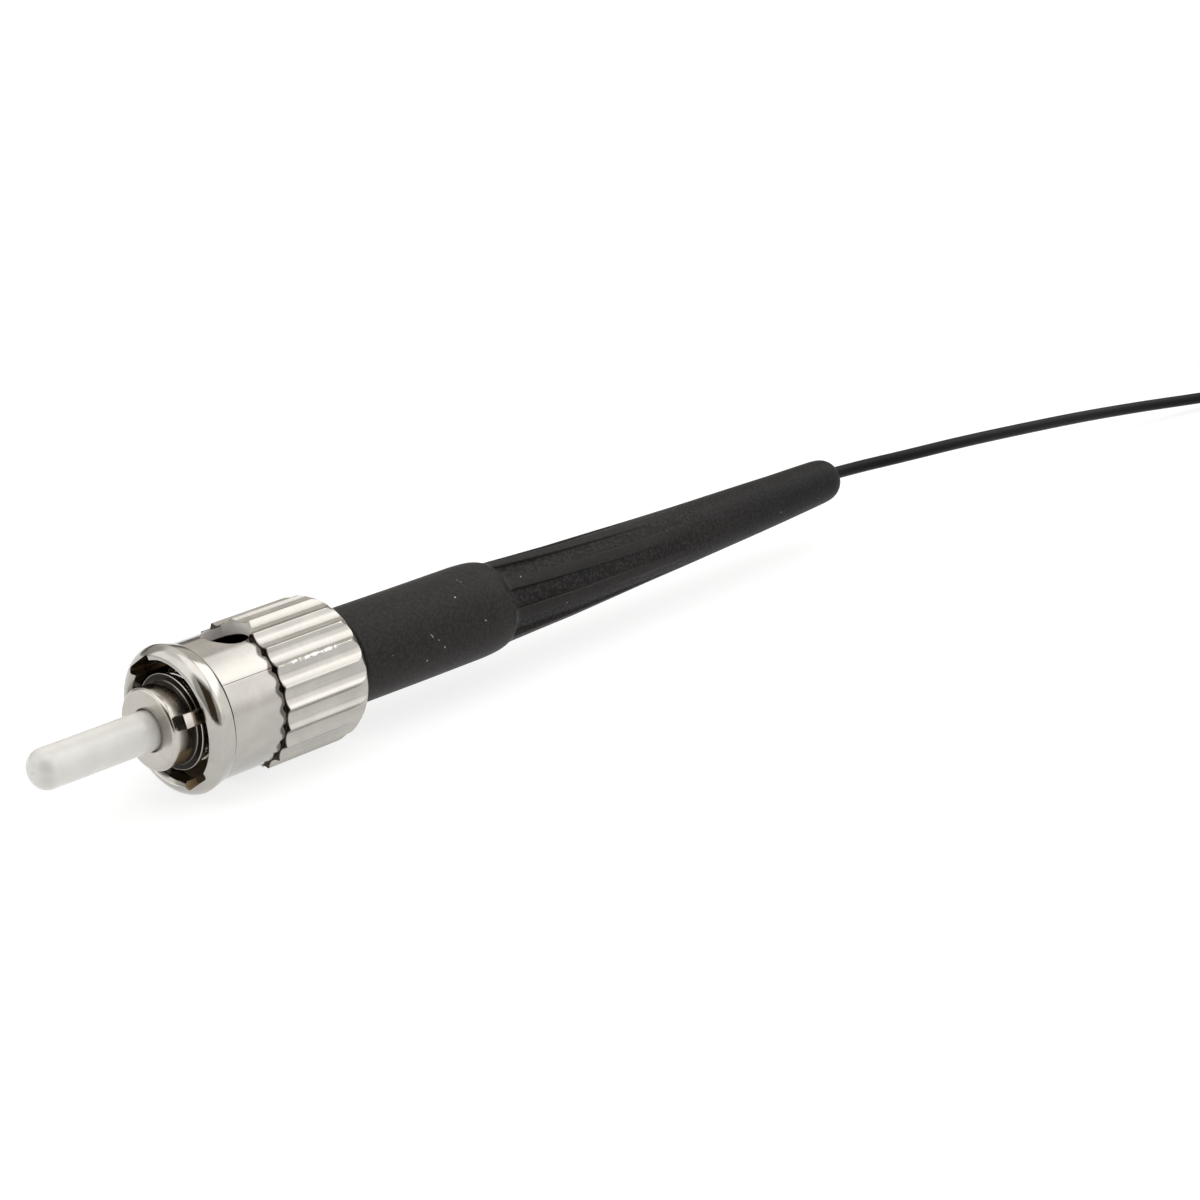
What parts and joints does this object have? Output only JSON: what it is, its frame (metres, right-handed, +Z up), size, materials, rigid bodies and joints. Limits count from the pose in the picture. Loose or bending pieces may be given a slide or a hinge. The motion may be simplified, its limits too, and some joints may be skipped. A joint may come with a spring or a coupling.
{
  "type": "fibre patch cord",
  "caption": "Fibre patch cord: thin black buffered fibre, coiled and tied, with a fluted metal bayonet connector, white ceramic ferrule and tapered rubber boot at each end.",
  "frame": {"origin": "on the surface it lies on, under the middle of the near connector", "axes": "+X along the near connector from its ferrule to its boot and cord, +Z up from the surface"},
  "size_m": [0.2132, 0.0127, 0.0093],
  "materials": {
    "ceramic": "ground white zirconia",
    "glass": "polished glass",
    "nickel": "bright nickel plate",
    "natural_plastic": "natural plastic tube",
    "buffer": "satin black tight buffer",
    "spring_steel": "bright spring steel",
    "boot_rubber": "matte fine-grained black rubber",
    "tie_band": "matte plastic band"
  },
  "bodies": {
    "cord": {"near_ferrule": "ceramic", "near_glass_fibre": "glass", "near_barrel": "nickel", "near_guide_tube": "natural_plastic", "near_buffered_fibre": "buffer", "near_spring": "spring_steel", "near_retaining_clip": "spring_steel", "near_crimp_post": "nickel", "near_boot": "boot_rubber", "far_ferrule": "ceramic", "far_glass_fibre": "glass", "far_barrel": "nickel", "far_guide_tube": "natural_plastic", "far_buffered_fibre": "buffer", "far_spring": "spring_steel", "far_retaining_clip": "spring_steel", "far_crimp_post": "nickel", "far_boot": "boot_rubber", "cord_near_lead": "buffer", "cord_coil": "buffer", "coil_tie": "tie_band", "cord_far_lead": "buffer"},
    "near_washer": {"near_thrust_washer": "spring_steel"},
    "near_nut": {"near_coupling_nut": "nickel"},
    "far_washer": {"far_thrust_washer": "spring_steel"},
    "far_nut": {"far_coupling_nut": "nickel"}
  },
  "joints": [
    {"name": "near_nut_slide", "type": "slide", "parent": "cord", "child": "near_washer", "axis": [-1, 0, 0], "range_m": [0, 0.002], "stiffness_N_per_m": 2400, "springref_m": -0.0001, "deforming": ["near_spring"]},
    {"name": "near_nut_spin", "type": "hinge", "parent": "near_washer", "child": "near_nut", "pos_m": [-0.0197, 0, 0.00466], "axis": [-1, 0, 0], "continuous": true},
    {"name": "far_nut_slide", "type": "slide", "parent": "cord", "child": "far_washer", "axis": [1, 0, 0], "range_m": [0, 0.002], "stiffness_N_per_m": 2400, "springref_m": -0.0001, "deforming": ["far_spring"]},
    {"name": "far_nut_spin", "type": "hinge", "parent": "far_washer", "child": "far_nut", "pos_m": [0.16212, -0.00345, 0.00466], "axis": [1, 0, 0], "continuous": true}
  ]
}
